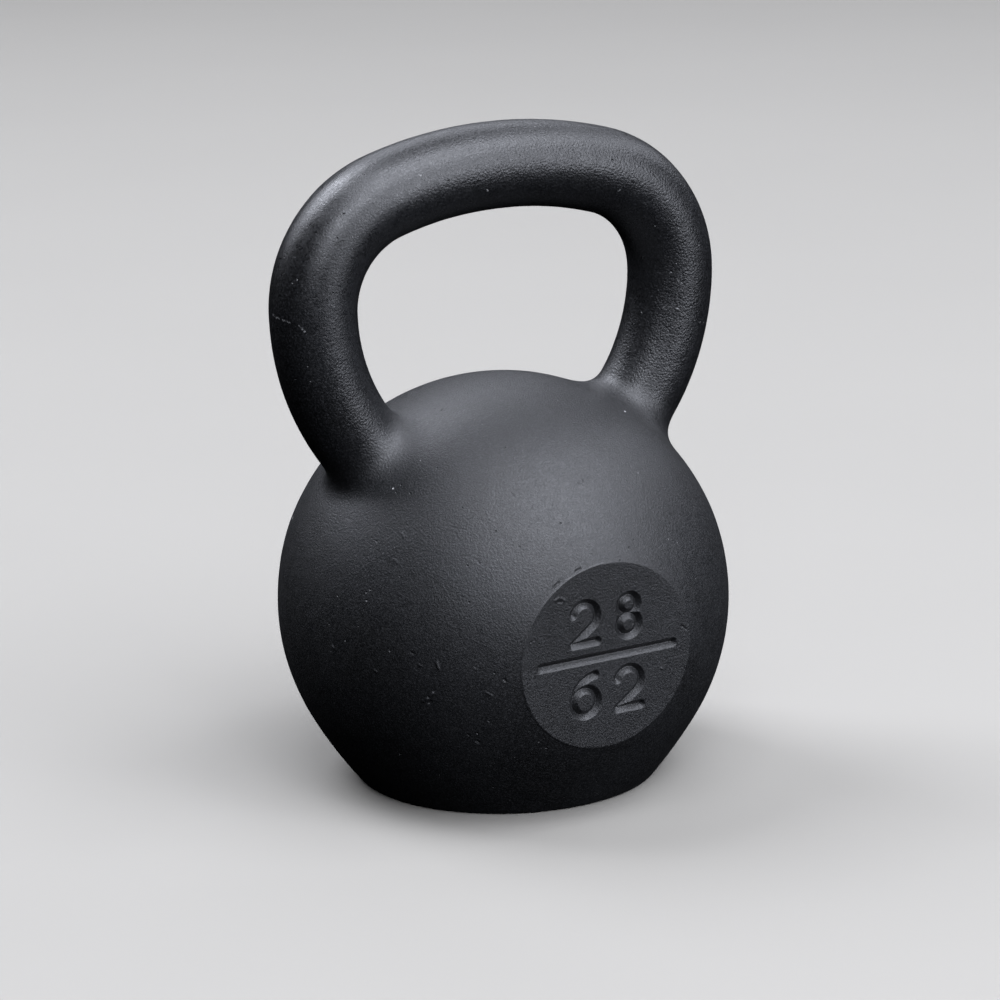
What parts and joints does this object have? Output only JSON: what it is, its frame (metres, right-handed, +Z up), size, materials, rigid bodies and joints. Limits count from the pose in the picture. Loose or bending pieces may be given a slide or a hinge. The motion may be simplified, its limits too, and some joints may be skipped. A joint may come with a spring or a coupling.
{
  "type": "kettlebell",
  "caption": "Kettlebell: solid iron ball with a flat base and a flat number face, and a bent round bar handle set into the ball with a fillet at each foot.",
  "frame": {"origin": "centre of the flat base on which the kettlebell stands, straight below the middle of the handle", "axes": "+Z up through the handle, X along the handle's width from foot to foot, -Y the way the number face looks"},
  "size_m": [0.2044, 0.1841, 0.278],
  "materials": {
    "ball_coat": "matte",
    "handle_coat": "satin",
    "weld_coat": "matte"
  },
  "bodies": {
    "root": {"ball": "ball_coat", "handle": "handle_coat", "weld_left": "weld_coat", "weld_right": "weld_coat"}
  },
  "joints": []
}
